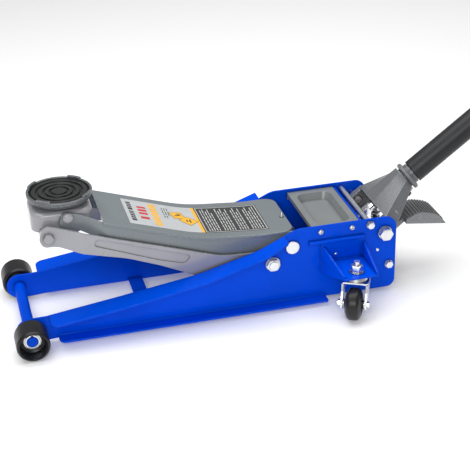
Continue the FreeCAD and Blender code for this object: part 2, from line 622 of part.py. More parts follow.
# ---- saddle ---------------------------------------------------------------------------------
def saddle_bracket():
    plan = [(27.0, -50.0, 26), (143.0, -50.0, 26), (143.0, 50.0, 26), (27.0, 50.0, 26)]
    platform = slab_xy(plan, 212.0, BRACKET_TOP)
    rims = [e for e in platform.Edges if e.BoundBox.ZMin > BRACKET_TOP - 0.1]
    platform = platform.makeFillet(9.0, rims)
    cheek = slab_xz([
        (41.0, 220.0), (41.0, 194.0, 9), (60.0, 187.0, 14), (84.0, 190.0, 14), (128.0, 214.0, 6),
        (128.0, 220.0)], 32.0, 49.8)
    boss = y_rod(LOWER_PIN, 32.0, LINK_NOSE_IN - 0.3, 14.5)
    front_wall = slab_yz([(-49.8, 190.0, 4), (49.8, 190.0, 4), (49.8, 216.0), (-49.8, 216.0)], 41.0, 49.0)
    neck = turned([
        (0, 0), (30.0, 0), (30.0, 5.0, 1.5), (0, 5.0)], V(SADDLE_X, 0, BRACKET_TOP - 1), Z_AXIS, X_AXIS)
    bracket = joined(platform, cheek, mirrored(cheek), boss, mirrored(boss), front_wall, neck)
    bores = [
        rod(V(SADDLE_X, 0, 150), V(SADDLE_X, 0, 300), STEM_R + FIT),
        y_rod(UPPER_PIN, 22.0, 80, UPPER_PIN_R + FIT), y_rod(UPPER_PIN, -80, -22.0, UPPER_PIN_R + FIT),
        y_rod(LOWER_PIN, 26.0, 80, LOWER_PIN_R + FIT), y_rod(LOWER_PIN, -80, -26.0, LOWER_PIN_R + FIT)]
    return bracket.cut(bores)


def saddle_cup():
    at = V(SADDLE_X, 0, 0)
    cup = turned([
        (0, 205.0), (STEM_R - 1.5, 205.0), (STEM_R, 206.5), (STEM_R, BRACKET_TOP + 4.5),
        (26.0, BRACKET_TOP + 4.5, 2),
        (30.0, CUP_BASE, 3), (CUP_R - 5, CUP_BASE, 4), (CUP_R, CUP_BASE + 7, 3), (CUP_R, 272.0, 1),
        (PAD_R + 2.3, 272.0, 1), (PAD_R + 1.2, 263.0), (0, 263.0)], at, Z_AXIS, X_AXIS)
    lugs = []
    for quarter in range(4):
        lug = turned_sector(PAD_R + 2.4, CUP_R - 0.2, 271.0, 275.0, 26.0)
        lug.rotate(V(0, 0, 0), Z_AXIS, 40.0 + 90.0 * quarter)
        lug.translate(at)
        lugs.append(lug)
    groove = pipe(V(SADDLE_X, 0, 207.6), V(SADDLE_X, 0, 209.2), STEM_R + 1, STEM_R - 1.2)
    return joined(cup, *lugs).cut(groove)


def turned_sector(inner, outer, z0, z1, angle):
    """Part of a flat ring, angle degrees wide, about the Z axis."""
    section = Part.Face(Part.makePolygon([
        V(inner, 0, z0), V(outer, 0, z0), V(outer, 0, z1), V(inner, 0, z1), V(inner, 0, z0)]))
    return section.revolve(V(0, 0, 0), Z_AXIS, angle)


def saddle_retaining_ring():
    ring = pipe(V(SADDLE_X, 0, 207.6), V(SADDLE_X, 0, 209.2), STEM_R + 4, STEM_R - 1.2)
    return ring.cut(box(SADDLE_X, SADDLE_X + 30, -2.5, 2.5, 200, 215))


def saddle_pad():
    """Rubber disc with three raised rings round a raised centre."""
    ring_top, groove = SADDLE_TOP, SADDLE_TOP - 3.0
    profile = [(0, 263.0), (PAD_R + 0.9, 263.0), (PAD_R + 0.9, groove - 1.0), (PAD_R, groove)]
    for outer, inner in ((PAD_R - 1.5, 44.0), (39.5, 30.5), (26.0, 18.5)):
        profile += [
            (outer, groove), (outer - 0.7, ring_top, 0.6), (inner + 0.7, ring_top, 0.6), (inner, groove)]
    profile += [(14.5, groove), (13.8, ring_top, 0.6), (0, ring_top)]
    return turned(profile, V(SADDLE_X, 0, 0), Z_AXIS, X_AXIS)


# ---- hydraulic unit ---------------------------------------------------------------------------
def pump_block():
    body = slab_xz([
        (BLOCK_FRONT, BASE_Z + BASE_T), (BLOCK_FRONT, BLOCK_TOP + 26, 8), (692.0, BLOCK_TOP + 26, 8),
        (700.0, BLOCK_TOP, 6), (BLOCK_REAR + 9, BLOCK_TOP, 4), (BLOCK_REAR + 9, 50.0, 8), (728.0, 38.0, 6),
        (728.0, BASE_Z + BASE_T)], -34.0, 40.0)
    feet = box(702.0, 729.0, -PLATE_IN, PLATE_IN, 47.0, 76.0)
    feet = feet.makeFillet(4.0, [e for e in feet.Edges if e.BoundBox.YLength > 100])
    tower = slab_xz([
        (BLOCK_FRONT + 2, BLOCK_TOP), (BLOCK_FRONT + 2, 128.0, 6), (678.0, 137.0, 4), (692.0, 118.0, 4),
        (698.0, BLOCK_TOP)], -17.0, 17.0)
    guide = turned([
        (0, BLOCK_TOP - 10), (14.0, BLOCK_TOP - 10), (14.0, BLOCK_TOP + 5, 3), (11.0, BLOCK_TOP + 8, 2),
        (11.0, GUIDE_TOP, 1), (0, GUIDE_TOP)], V(PLUNGER_X, PLUNGER_Y, 0), Z_AXIS, X_AXIS)
    slot_y = (LEVER_Y[0] - 1.2, LEVER_Y[1] + 1.2)
    slot = box(PEDAL_PIVOT[0] - 14, BLOCK_REAR + 20, slot_y[0], slot_y[1], BLOCK_TOP - 5, BLOCK_TOP + 40)
    x = PEDAL_PIVOT[0]
    ear_outline = [(x - 11, BLOCK_TOP - 1), (x - 11, 105.5, 8), (x + 10, 105.5, 8), (x + 10, BLOCK_TOP - 1)]
    pedal_ears = [
        slab_xz(ear_outline, slot_y[0] - 4.8, slot_y[0]),
        slab_xz(ear_outline, slot_y[1], slot_y[1] + 4.8)]
    holes = [
        rod(V(PLUNGER_X, PLUNGER_Y, 54), V(PLUNGER_X, PLUNGER_Y, 120), PLUNGER_R + FIT),
        rod(V(*FOOT_PLUNGER, 57), V(*FOOT_PLUNGER, 120), FOOT_PLUNGER_R + FIT),
        rod(along(-42.0), along(0.0), VALVE_R + FIT),
        y_rod(UNIT_BOLT_AT, PLATE_IN - 16, PLATE_IN + 1, UNIT_BOLT_R),
        y_rod(UNIT_BOLT_AT, -PLATE_IN - 1, 16 - PLATE_IN, UNIT_BOLT_R),
        y_rod(PEDAL_PIVOT, -24.0, -4.0, PEDAL_PIN_R),
    ]
    return joined(joined(body, feet, tower, guide).cut(slot), *pedal_ears).cut(holes)


def ram_cylinder():
    return pipe(V(574, 0, RAM_Z), V(BLOCK_FRONT, 0, RAM_Z), CYL_R, BORE_R)


def oil_reservoir():
    shell = pipe(V(574, 0, RAM_Z), V(BLOCK_FRONT, 0, RAM_Z), TANK_R, TANK_R - 3)
    end = pipe(V(574, 0, RAM_Z), V(578, 0, RAM_Z), TANK_R - 1, CYL_R)
    hole = rod(V(FILLER_X, 0, RAM_Z + TANK_R - 6), V(FILLER_X, 0, RAM_Z + TANK_R + 2), 5.0)
    return joined(shell, end).cut(hole)


def oil_filler_plug():
    at = V(FILLER_X, 0, RAM_Z + TANK_R)
    head = turned([
        (0, 0), (8.5, 0), (8.5, 4.0, 1), (0, 4.0)], at + Z_AXIS * 0.2, Z_AXIS, X_AXIS)
    stem = rod(at - Z_AXIS * 5, at + Z_AXIS * 0.3, 5.0)
    return joined(head, stem)


def gland_nut():
    """Nut that closes the cylinder; a groove in its bore holds the rod seal."""
    flange = hexagon(V(574, 0, RAM_Z), V(-1, 0, 0), 46.0, 8.0)
    spigot = rod(V(574, 0, RAM_Z), V(582, 0, RAM_Z), BORE_R)
    bore = rod(V(550, 0, RAM_Z), V(590, 0, RAM_Z), ROD_R + 0.3)
    groove = rod(V(568, 0, RAM_Z), V(572, 0, RAM_Z), ROD_R + 2.5)
    return joined(flange, spigot).cut([bore, groove])


def rod_seal():
    return pipe(V(568, 0, RAM_Z), V(572, 0, RAM_Z), ROD_R + 2.5, ROD_R + FIT)


def ram_rod():
    """Piston and rod in one piece; the front end is threaded into the crosshead."""
    rod_part = rod(V(CROSSHEAD_REAR, 0, RAM_Z), V(PISTON[0] + 2, 0, RAM_Z), ROD_R)
    piston = turned([
        (0, PISTON[0]), (BORE_R - FIT, PISTON[0], 1), (BORE_R - FIT, PISTON[0] + 5),
        (BORE_R - 2.5, PISTON[0] + 5), (BORE_R - 2.5, PISTON[0] + 9), (BORE_R - FIT, PISTON[0] + 9),
        (BORE_R - FIT, PISTON[1], 1), (0, PISTON[1])], V(0, 0, RAM_Z), X_AXIS, Z_AXIS)
    return joined(rod_part, piston)


def piston_seal():
    return pipe(V(PISTON[0] + 5, 0, RAM_Z), V(PISTON[0] + 9, 0, RAM_Z), BORE_R - FIT, BORE_R - 2.5)


def ram_crosshead():
    """Block on the rod's end, with an upright slot that lets the crank pin rise and fall."""
    x = RAM_PIN[0]
    block = slab_xz([
        (x - 17, 50.0, 8), (CROSSHEAD_REAR, 50.0, 4), (CROSSHEAD_REAR, 90.0, 4), (x - 17, 90.0, 8)],
        -20.0, 20.0)
    front, rear = x - RAM_PIN_R - 1.3, x + RAM_PIN_R + 0.5
    low, high = RAM_PIN[1] - RAM_PIN_R - 1.4, RAM_PIN[1] + RAM_PIN_R + 9.4
    slot = slab_xz([(front, low, 8.5), (rear, low, 8.5), (rear, high, 8.5), (front, high, 8.5)], -30.0, 30.0)
    return block.cut(slot)


def pump_plunger():
    seat = PLUNGER_TOP - 5
    return turned([
        (0, 70.0), (PLUNGER_R, 70.0), (PLUNGER_R, seat), (9.0, seat, 0.8), (9.0, PLUNGER_TOP, 0.8),
        (0, PLUNGER_TOP)], V(PLUNGER_X, PLUNGER_Y, 0), Z_AXIS, X_AXIS)


def foot_plunger():
    top = 88.4
    return turned([
        (0, 68.0), (FOOT_PLUNGER_R, 68.0), (FOOT_PLUNGER_R, top, 1.2), (0, top)],
        V(*FOOT_PLUNGER, 0), Z_AXIS, X_AXIS)


def plunger_spring():
    """Round wire swept along a helix between the guide and the plunger's head."""
    mean_r, wire_r, turns = 8.4, 0.9, 4
    low, high = GUIDE_TOP + 0.3 + wire_r, PLUNGER_TOP - 5.3 - wire_r
    helix = Part.makeHelix((high - low) / turns, high - low, mean_r)
    helix.translate(V(PLUNGER_X, PLUNGER_Y, low))
    start = V(PLUNGER_X + mean_r, PLUNGER_Y, low)
    section = Part.Wire(Part.makeCircle(wire_r, start, Y_AXIS))
    return Part.Wire(helix.Edges).makePipeShell([section], True, True)


# ---- release valve ----------------------------------------------------------------------------
def release_knuckle():
    """Valve stem with a compact universal joint on its outer end."""
    stem = rod(along(-40.0), along(-14.0), VALVE_R)
    hub = turned([(0, -18.0), (8.0, -18.0, 1.2), (8.0, -9.0), (0, -9.0)], VALVE_CENTRE, HANDLE_DIR, HANDLE_UP)
    jaw = box(-9.0, 6.0, 3.6, 7.4, -6.5, 6.5)
    tongue = box(-6.0, 9.0, -6.5, 6.5, 3.0, 6.6)
    lower = [jaw, mirrored(jaw)]
    upper = [tongue, tongue.mirror(V(0, 0, 0), Z_AXIS)]
    cross = [rod(V(0, -7.6, 0), V(0, 7.6, 0), 2.4), rod(V(0, 0, -7.0), V(0, 0, 7.0), 2.4)]
    core = Part.makeSphere(4.6)
    cap = rod(V(7.0, 0, 0), V(16.5, 0, 0), 7.6)
    joint = joined(core, *(lower + upper + cross + [cap]))
    joint.rotate(V(0, 0, 0), Y_AXIS, -HANDLE_ANGLE)
    joint.translate(VALVE_CENTRE)
    return joined(stem, hub, joint)


def release_drive():
    """Square drive on the foot of the handle that turns the valve."""
    cup = turned([
        (0, 26.0), (9.5, 26.0, 1.5), (9.5, 40.0, 1), (0, 40.0)], VALVE_CENTRE, HANDLE_DIR, HANDLE_UP)
    return joined(cup, handle_box(38.0, 34.0, 5.0))


# ---- handle socket ----------------------------------------------------------------------------
def section_at(distance, points):
    """Polygon across the handle axis: points are (height above the pivot, y)."""
    base = PIVOT_POINT + HANDLE_DIR * distance
    corners = [base + HANDLE_UP * n + Y_AXIS * y for n, y in points]
    return Part.makePolygon(corners + corners[:1])


def ring_section(distance, rise, half):
    """Eight-sided section about the handle axis."""
    short = 0.42 * half
    n = HANDLE_OFFSET + rise
    return section_at(distance, [
        (n + half, -short), (n + half, short), (n + short, half), (n - short, half),
        (n - half, short), (n - half, -short), (n - short, -half), (n + short, -half)])


def yoke_section(distance, top, shoulder, foot, bottom, half, strip):
    return section_at(distance, [
        (top, -strip), (top, strip), (shoulder, half), (foot, half),
        (bottom, strip), (bottom, -strip), (foot, -half), (shoulder, -half)])


def handle_socket():
    """Cast socket: two pivot cheeks, a tapering hood, a collar, and arms for the pump roller."""
    outer = Part.makeLoft([
        yoke_section(20.0, 27.5, 15.5, -22.0, -34.0, CHEEK_OUT, 21.0),
        ring_section(100.0, 0.0, 25.5)], True, True)
    inner = Part.makeLoft([
        yoke_section(18.0, 19.0, 8.0, -16.0, -25.0, CHEEK_IN, 19.0),
        ring_section(74.0, 0.0, 17.0)], True, True)
    neck = rod(along(98.0), along(119.5), 21.6)
    collar = turned([
        (0, 103.5), (27.5, 103.5, 1), (30.0, 105.5, 1), (30.0, 110.0, 2), (27.0, 112.5, 1), (0, 112.5)],
        VALVE_CENTRE, HANDLE_DIR, HANDLE_UP)
    cheek = slab_xz(cheek_outline(), CHEEK_IN, CHEEK_OUT)
    open_underside = y_rod(HANDLE_PIVOT, -60.0, 60.0, 44.0).common(
        slab_handle([(0.0, 2.0), (60.0, 2.0), (60.0, -60.0), (0.0, -60.0)], -60.0, 60.0))
    hood = joined(outer.cut(inner), neck, collar).cut(open_underside)
    arm_outline = [
        (21.0, 23.0), (48.0, 24.5), (28.7, -14.0, 12), (28.7, -28.5, 8.7), (11.1, -28.5, 8.7),
        (11.1, -8.0, 8), (21.0, 4.0, 8)]
    arms = [slab_handle(arm_outline, 16.2, 19.8), slab_handle(arm_outline, 32.2, 38.0)]
    socket = joined(hood, cheek, mirrored(cheek), *arms)
    bores = [
        rod(along(66.0), along(125.0), TUBE_R + FIT),
        y_rod(HANDLE_PIVOT, CHEEK_IN - 1, CHEEK_OUT + 1, PIVOT_BUSH_R),
        y_rod(HANDLE_PIVOT, -CHEEK_OUT - 1, 1 - CHEEK_IN, PIVOT_BUSH_R),
        y_rod(ROLLER_AT, 10.0, 45.0, ROLLER_PIN_R),
        rod(along(LOCK_AT), along(LOCK_AT) - HANDLE_UP * 40, LOCK_SCREW_R),
    ]
    return socket.cut(bores)


def cheek_outline():
    """Side view of a cheek: round about the pivot and running up into the casting."""
    foot = PIVOT_POINT + HANDLE_DIR * 24.0
    top_corner = foot + HANDLE_UP * 15.5
    low_corner = foot - HANDLE_UP * 22.0
    back = PIVOT_POINT - HANDLE_DIR * CHEEK_R
    return [
        (top_corner.x, top_corner.z), (low_corner.x, low_corner.z),
        (back.x + HANDLE_UP.x * -22.0, back.z - HANDLE_UP.z * 22.0, 20),
        (back.x + HANDLE_UP.x * 15.5, back.z + HANDLE_UP.z * 15.5, 17)]


def socket_bushes():
    return both_sides(y_ring(HANDLE_PIVOT, CHEEK_IN, CHEEK_OUT, PIVOT_BUSH_R, PIVOT_BOLT_R + FIT))


def handle_pivot_bolts():
    base = V(HANDLE_PIVOT[0], PLATE_OUT, HANDLE_PIVOT[1])
    shank = PLATE_OUT - CHEEK_IN
    return both_sides(hex_bolt(base, Y_AXIS, 24.0, 10.6, PIVOT_BOLT_R, shank, 14.2, 4.0))


def pump_roller():
    """Roller that works the pump, and the pin it turns on."""
    roller = y_ring(ROLLER_AT, 20.2, 31.8, ROLLER_R, ROLLER_PIN_R + FIT)
    return Part.makeCompound([roller, y_rod(ROLLER_AT, 15.2, 39.0, ROLLER_PIN_R)])


def handle_lock_screw():
    """Set screw whose tip runs in the groove round the handle's foot."""
    tip = along(LOCK_AT) - HANDLE_UP * (GROOVE_R + 0.4)
    top = along(LOCK_AT) - HANDLE_UP * 31.0
    return joined(rod(tip, top, LOCK_SCREW_R), hexagon(top, HANDLE_UP * -1.0, 13.0, 5.5))


# ---- handle -----------------------------------------------------------------------------------
def handle_lower_tube():
    tube = pipe(along(70.0), along(JOINT_AT + 60), TUBE_R, UPPER_TUBE_R)
    foot = rod(along(70.0), along(98.0), UPPER_TUBE_R)
    square = handle_box(69.0, 31.0, 5.0)
    groove = pipe(along(LOCK_AT - 4.6), along(LOCK_AT + 4.6), TUBE_R + 1, GROOVE_R)
    bolt_hole = rod(along(JOINT_AT + 40) - Y_AXIS * 30, along(JOINT_AT + 40) + Y_AXIS * 30, 4.0)
    return joined(tube, foot).cut([square, groove, bolt_hole])


def handle_sleeve():
    return turned([
        (TUBE_R, 121.0), (SLEEVE_R, 121.0, 1.5), (SLEEVE_R, 520.0, 1.5), (TUBE_R, 520.0)],
        VALVE_CENTRE, HANDLE_DIR, HANDLE_UP)


def handle_upper_tube():
    tube = pipe(along(JOINT_AT), along(HANDLE_LENGTH - 6), UPPER_TUBE_R, UPPER_TUBE_R - 2.5)
    bolt_hole = rod(along(JOINT_AT + 40) - Y_AXIS * 30, along(JOINT_AT + 40) + Y_AXIS * 30, 4.0)
    return tube.cut(bolt_hole)


def handle_joint_bolt():
    """Cross bolt and nut that hold the two halves of the handle together."""
    head_at = along(JOINT_AT + 40) - Y_AXIS * TUBE_R
    bolt = hex_bolt(head_at, Y_AXIS * -1.0, 13.0, 5.0, 4.0, 2 * TUBE_R + 7.0)
    nut_at = along(JOINT_AT + 40) + Y_AXIS * TUBE_R
    nut = hexagon(nut_at, Y_AXIS, 13.0, 6.0).cut(rod(nut_at - Y_AXIS, nut_at + Y_AXIS * 8, 4.0))
    return Part.makeCompound([bolt, nut])


def handle_grip():
    """Rubber grip with a flared guard, finger ribs and a closed end."""
    end = HANDLE_LENGTH - 6
    profile = [
        (UPPER_TUBE_R, GRIP_FROM), (21.5, GRIP_FROM, 1.5), (22.5, GRIP_FROM + 6, 2),
        (19.0, GRIP_FROM + 9, 2)]
    ribs = 9
    pitch = (end - 22 - (GRIP_FROM + 14)) / ribs
    for i in range(ribs):
        start = GRIP_FROM + 14 + i * pitch
        profile += [
            (19.0, start, 1.0), (20.2, start + 1.5, 1.0), (20.2, start + pitch - 3, 1.0),
            (19.0, start + pitch - 1.5, 1.0)]
    profile += [
        (19.0, end - 20, 1), (21.5, end - 17, 2), (21.5, end + 3, 5), (0, end + 6), (0, end),
        (UPPER_TUBE_R, end)]
    return turned(profile, VALVE_CENTRE, HANDLE_DIR, HANDLE_UP)


# ---- pedal ------------------------------------------------------------------------------------
def pedal_pin():
    return y_rod(PEDAL_PIVOT, -24.0, -4.0, PEDAL_PIN_R)


def foot_pedal():
    """Lever from the pivot ear back to a ribbed, arched tread."""
    lever = slab_xz([
        (696.5, 105.0, 7), (722.0, 104.0, 20), (752.0, 104.0, 20), (779.0, 122.0, 2), (779.0, 112.5, 2),
        (756.0, 94.0, 16), (737.0, 89.0, 16), (722.0, 91.0, 16), (698.0, 89.5, 7)], *LEVER_Y)
    arch = slab_xz([
        (776.5, 111.8), (776.5, 121.0, 3), (806.0, 134.0, 34), (845.0, 124.0, 40), (864.0, 101.5, 0.6),
        (861.0, 100.5)], -PEDAL_HALF, PEDAL_HALF)
    hollow = slab_xz([
        (780.0, 104.0), (780.0, 117.5, 2), (806.0, 129.0, 31), (840.0, 120.0, 36), (856.0, 103.0),
        (856.0, 96.0)], 4 - PEDAL_HALF, PEDAL_HALF - 4)
    ribs = []
    for i in range(13):
        x = 779.0 + 80.0 * (i + 0.5) / 13
        ribs.append(box(x - 1.3, x + 1.3, -PEDAL_HALF + 1, PEDAL_HALF - 1, 0, 200))
    skin = slab_xz([
        (776.5, 111.8), (775.0, 122.2, 3), (806.0, 136.0, 35), (846.5, 125.6, 41), (865.5, 101.5, 0.6)],
        -PEDAL_HALF, PEDAL_HALF).cut(arch)
    treads = [skin.common(rib) for rib in ribs]
    pedal = joined(arch.cut(hollow), lever, *treads)
    return pedal.cut(y_rod(PEDAL_PIVOT, -40, 40, PEDAL_PIN_R + FIT))


# ---- casters ----------------------------------------------------------------------------------
def on_caster(shape):
    """Turn a piece drawn with its trail along +X into its place on the right-hand side."""
    shape.rotate(V(0, 0, 0), Z_AXIS, TRAIL_ANGLE)
    shape.translate(SWIVEL)
    return shape


def caster_fork():
    outline = [
        (-20.0, FORK_TOP - 3), (23.0, FORK_TOP - 3), (28.0, 58.0, 20),
        (TRAIL_LENGTH + 11.5, CASTER_WHEEL_R + 5, 10), (TRAIL_LENGTH + 11.5, CASTER_WHEEL_R - 12.5, 11),
        (TRAIL_LENGTH - 11.5, CASTER_WHEEL_R - 12.5, 11), (6.0, 48.0, 15), (-20.0, 63.0, 8)]
    leg = slab_xz(outline, FORK_HALF - FORK_T, FORK_HALF)
    bridge = box(-22.0, 23.0, -FORK_HALF, FORK_HALF, FORK_TOP - 3, FORK_TOP)
    bridge = bridge.makeFillet(5.0, [e for e in bridge.Edges if e.BoundBox.ZLength > 2])
    race_seat = rod(V(0, 0, FORK_TOP - 3), V(0, 0, FORK_TOP + 0.8), 19.5)
    fork = joined(leg, mirrored(leg), bridge, race_seat)
    holes = [
        rod(V(0, 0, 50), V(0, 0, 100), STEM_BOLT_R + FIT),
        y_rod((TRAIL_LENGTH, CASTER_WHEEL_R), -40, 40, CASTER_BOLT_R)]
    return on_caster(fork.cut(holes))


def caster_swivel():
    """King bolt with washer and nut on the shelf, and the fixed race that the fork turns under."""
    race = turned([
        (STEM_BOLT_R, FORK_TOP + 1.1), (20.4, FORK_TOP + 1.1), (20.8, FORK_TOP + 0.5),
        (22.0, FORK_TOP + 0.5), (18.5, SHELF_TOP - 4, 1), (STEM_BOLT_R, SHELF_TOP - 4)],
        V(0, 0, 0), Z_AXIS, X_AXIS)
    bolt = rod(V(0, 0, FORK_TOP - 3.2), V(0, 0, SHELF_TOP + 23.0), STEM_BOLT_R)
    head = turned([
        (0, FORK_TOP - 8.5), (8.0, FORK_TOP - 8.5, 1), (10.5, FORK_TOP - 3.2, 1), (0, FORK_TOP - 3.2)],
        V(0, 0, 0), Z_AXIS, X_AXIS)
    washer = pipe(V(0, 0, SHELF_TOP), V(0, 0, SHELF_TOP + 2.2), 14.5, STEM_BOLT_R)
    nut = hexagon(V(0, 0, SHELF_TOP + 2.2), Z_AXIS, 22.0, 13.0)
    nut = nut.cut(rod(V(0, 0, 80), V(0, 0, 120), STEM_BOLT_R))
    return on_caster(Part.makeCompound([joined(bolt, head), washer, nut, race]))


def caster_wheel():
    half = CASTER_WHEEL_W / 2
    bore = CASTER_BOLT_R + FIT
    wheel = turned([
        (bore, -half - 3), (9.0, -half - 3, 1), (9.0, -half + 2), (15.5, -half + 2, 1), (17.0, -half, 1),
        (20.0, -half, 1.5), (CASTER_WHEEL_R, 6 - half, 9), (CASTER_WHEEL_R, half - 6, 9), (20.0, half, 1.5),
        (17.0, half, 1), (15.5, half - 2, 1), (9.0, half - 2), (9.0, half + 3, 1), (bore, half + 3)],
        V(TRAIL_LENGTH, 0, CASTER_WHEEL_R), Y_AXIS, X_AXIS)
    return on_caster(wheel)


def caster_axle():
    """Wheel bolt with its head on one leg and a nut on the other."""
    at = (TRAIL_LENGTH, CASTER_WHEEL_R)
    shank = y_rod(at, -FORK_HALF, FORK_HALF + 8, CASTER_BOLT_R)
    head = hexagon(V(at[0], -FORK_HALF, at[1]), Y_AXIS * -1.0, 12.0, 4.5)
    nut = hexagon(V(at[0], FORK_HALF, at[1]), Y_AXIS, 12.0, 6.0).cut(y_rod(at, 0, 60, CASTER_BOLT_R))
    spacer = y_ring(at, CASTER_WHEEL_W / 2 + 3.2, FORK_HALF - FORK_T, 8.0, CASTER_BOLT_R)
    return on_caster(Part.makeCompound([joined(shank, head), nut, spacer, mirrored(spacer)]))


# ---- export -----------------------------------------------------------------------------------
SINGLE = [
    front_axle, wheel_retaining_rings, cross_bars, rear_base_plate, tool_tray, tray_screws,
    tie_bar, frame_fasteners, lift_arm, arm_bushes, arm_pivot_shaft, pivot_spacers, link_pivot_bolts,
    arm_pins, link_front_bolts, saddle_bracket, saddle_cup, saddle_pad,
    saddle_retaining_ring, pump_block, ram_cylinder, oil_reservoir, oil_filler_plug, gland_nut, rod_seal,
    ram_rod, piston_seal, ram_crosshead, pump_plunger, foot_plunger, plunger_spring, release_knuckle,
    release_drive, handle_socket, socket_bushes, handle_pivot_bolts, pump_roller, handle_lock_screw,
    handle_lower_tube, handle_sleeve, handle_upper_tube, handle_joint_bolt, handle_grip, pedal_pin,
    foot_pedal,
]
PAIRED = [
    side_plate, front_wheel, caster_bracket, lower_link, caster_fork, caster_wheel, caster_axle,
]
GROUPED_PAIRS = [caster_swivel]


def main():
    shapes = {maker.__name__: maker() for maker in SINGLE}
    for maker in PAIRED:
        right = maker()
        shapes[maker.__name__ + "_right"] = right
        shapes[maker.__name__ + "_left"] = mirrored(right)
    for maker in GROUPED_PAIRS:
        right = maker()
        shapes[maker.__name__ + "s"] = Part.makeCompound(right.Solids + mirrored(right).Solids)
    bounds = [shape.BoundBox for shape in shapes.values()]
    middle = 0.5 * (min(b.XMin for b in bounds) + max(b.XMax for b in bounds))
    print("origin moved by", middle)
    os.makedirs("parts", exist_ok=True)
    for name, shape in shapes.items():
        moved = shape.translated(V(-middle, 0, 0))
        print(name, len(moved.Solids), round(moved.Volume), moved.isValid())
        moved.exportStep("parts/" + name + ".step")


main()
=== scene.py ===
"""Looks of the trolley jack: materials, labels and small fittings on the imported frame, light and camera."""
import bpy
import json
import math
from mathutils import Matrix, Vector
from mathutils.bvhtree import BVHTree


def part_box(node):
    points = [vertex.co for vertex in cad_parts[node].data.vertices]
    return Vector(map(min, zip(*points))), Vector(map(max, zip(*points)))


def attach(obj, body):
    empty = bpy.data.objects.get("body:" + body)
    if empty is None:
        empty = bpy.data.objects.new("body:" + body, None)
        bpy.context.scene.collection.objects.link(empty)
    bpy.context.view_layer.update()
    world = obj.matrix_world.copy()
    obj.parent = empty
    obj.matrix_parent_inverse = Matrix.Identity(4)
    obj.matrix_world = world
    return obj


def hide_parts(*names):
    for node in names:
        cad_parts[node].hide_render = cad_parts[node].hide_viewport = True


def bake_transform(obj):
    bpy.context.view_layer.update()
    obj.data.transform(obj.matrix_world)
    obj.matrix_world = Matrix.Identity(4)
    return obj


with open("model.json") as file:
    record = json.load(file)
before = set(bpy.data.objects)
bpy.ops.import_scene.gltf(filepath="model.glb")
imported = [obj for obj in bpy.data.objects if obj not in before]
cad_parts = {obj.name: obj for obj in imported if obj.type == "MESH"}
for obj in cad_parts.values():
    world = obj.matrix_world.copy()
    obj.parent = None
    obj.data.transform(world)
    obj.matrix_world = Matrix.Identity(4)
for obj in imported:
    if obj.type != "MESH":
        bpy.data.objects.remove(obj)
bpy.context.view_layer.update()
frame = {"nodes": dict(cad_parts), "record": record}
MM = 0.001

# camera, solved from the wheels, plates and bolts in the photograph
AZIMUTH, ELEVATION, ROLL = -0.26670, 0.47634, -0.01695      # radians
TARGET = (465.38, 0.0, 121.53)      # millimetres
DISTANCE = 2.51792                  # metres from the target
LENS = 96.70
SHIFT_X, SHIFT_Y = -0.0418, -0.0029

# the label on the arm's top, in millimetres; X runs from the saddle to the rear
FILM_START, BAND_START, DARK_START, DARK_END = 209.0, 347.0, 353.0, 480.0
LABEL_HALF_WIDTH = 56.0
ICON_PANELS = (        # centre, side lengths, turn in degrees
    ((313.0, 14.0), (23.0, 27.0), 12.0),
    ((331.0, -7.0), (26.5, 26.5), 45.0))
ICON_RIM = 2.0         # what the black edge adds to a panel's side lengths
TEXT_LINES = 22
TEXT_PITCH = 5.1
PARAGRAPH_GAPS = (5, 11, 16)        # lines left out between the paragraphs

# welds at the caster brackets, in millimetres
SHELF_Z = 89.0
PLATE_THICKNESS = 4.0
BRACKET_X, SHELF_X = (575.0, 664.0), (582.0, 658.0)
GUSSET_X = (580.5, 659.5)
BRACKET_WELD_Z, GUSSET_WELD_TOP = (64.0, 128.0), 119.0
WELD_R = 2.3 * MM


def centre(node):
    low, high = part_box(node)
    return (low + high) / 2


AXLE_X = centre("front_axle").x       # every position along X is counted from the front axle


def at(x, y, z):
    """Point in millimetres from the front axle's middle and the floor, as a position in metres."""
    return Vector((AXLE_X + x * MM, y * MM, z * MM))


# ---- camera, floor and light ----------------------------------------------------------------
def look_matrix(azimuth, elevation, roll):
    """Camera axes as columns: side, top, and back towards the camera."""
    back = Vector((
        math.sin(azimuth) * math.cos(elevation), -math.cos(azimuth) * math.cos(elevation),
        math.sin(elevation)))
    right = Vector((math.cos(azimuth), math.sin(azimuth), 0.0))
    up = back.cross(right)
    side = right * math.cos(roll) + up * math.sin(roll)
    top = up * math.cos(roll) - right * math.sin(roll)
    return Matrix((side, top, back)).transposed()


def make_camera():
    data = bpy.data.cameras.new("camera")
    camera = bpy.data.objects.new("camera", data)
    bpy.context.scene.collection.objects.link(camera)
    turn = look_matrix(AZIMUTH, ELEVATION, ROLL)
    place = at(*TARGET) + turn @ Vector((0.0, 0.0, DISTANCE))
    camera.matrix_world = Matrix.Translation(place) @ turn.to_4x4()
    data.sensor_width = 36.0
    data.lens = LENS
    data.shift_x = SHIFT_X
    data.shift_y = SHIFT_Y
    data.clip_end = 60.0
    bpy.context.scene.camera = camera


def area_light(name, place, aim, size_x, size_y, power):
    data = bpy.data.lights.new(name, "AREA")
    data.energy = power
    data.shape = "RECTANGLE"
    data.size = size_x
    data.size_y = size_y
    light = bpy.data.objects.new(name, data)
    bpy.context.scene.collection.objects.link(light)
    place = Vector(place)
    turn = (place - Vector(aim)).to_track_quat("Z", "Y")
    light.matrix_world = Matrix.Translation(place) @ turn.to_matrix().to_4x4()


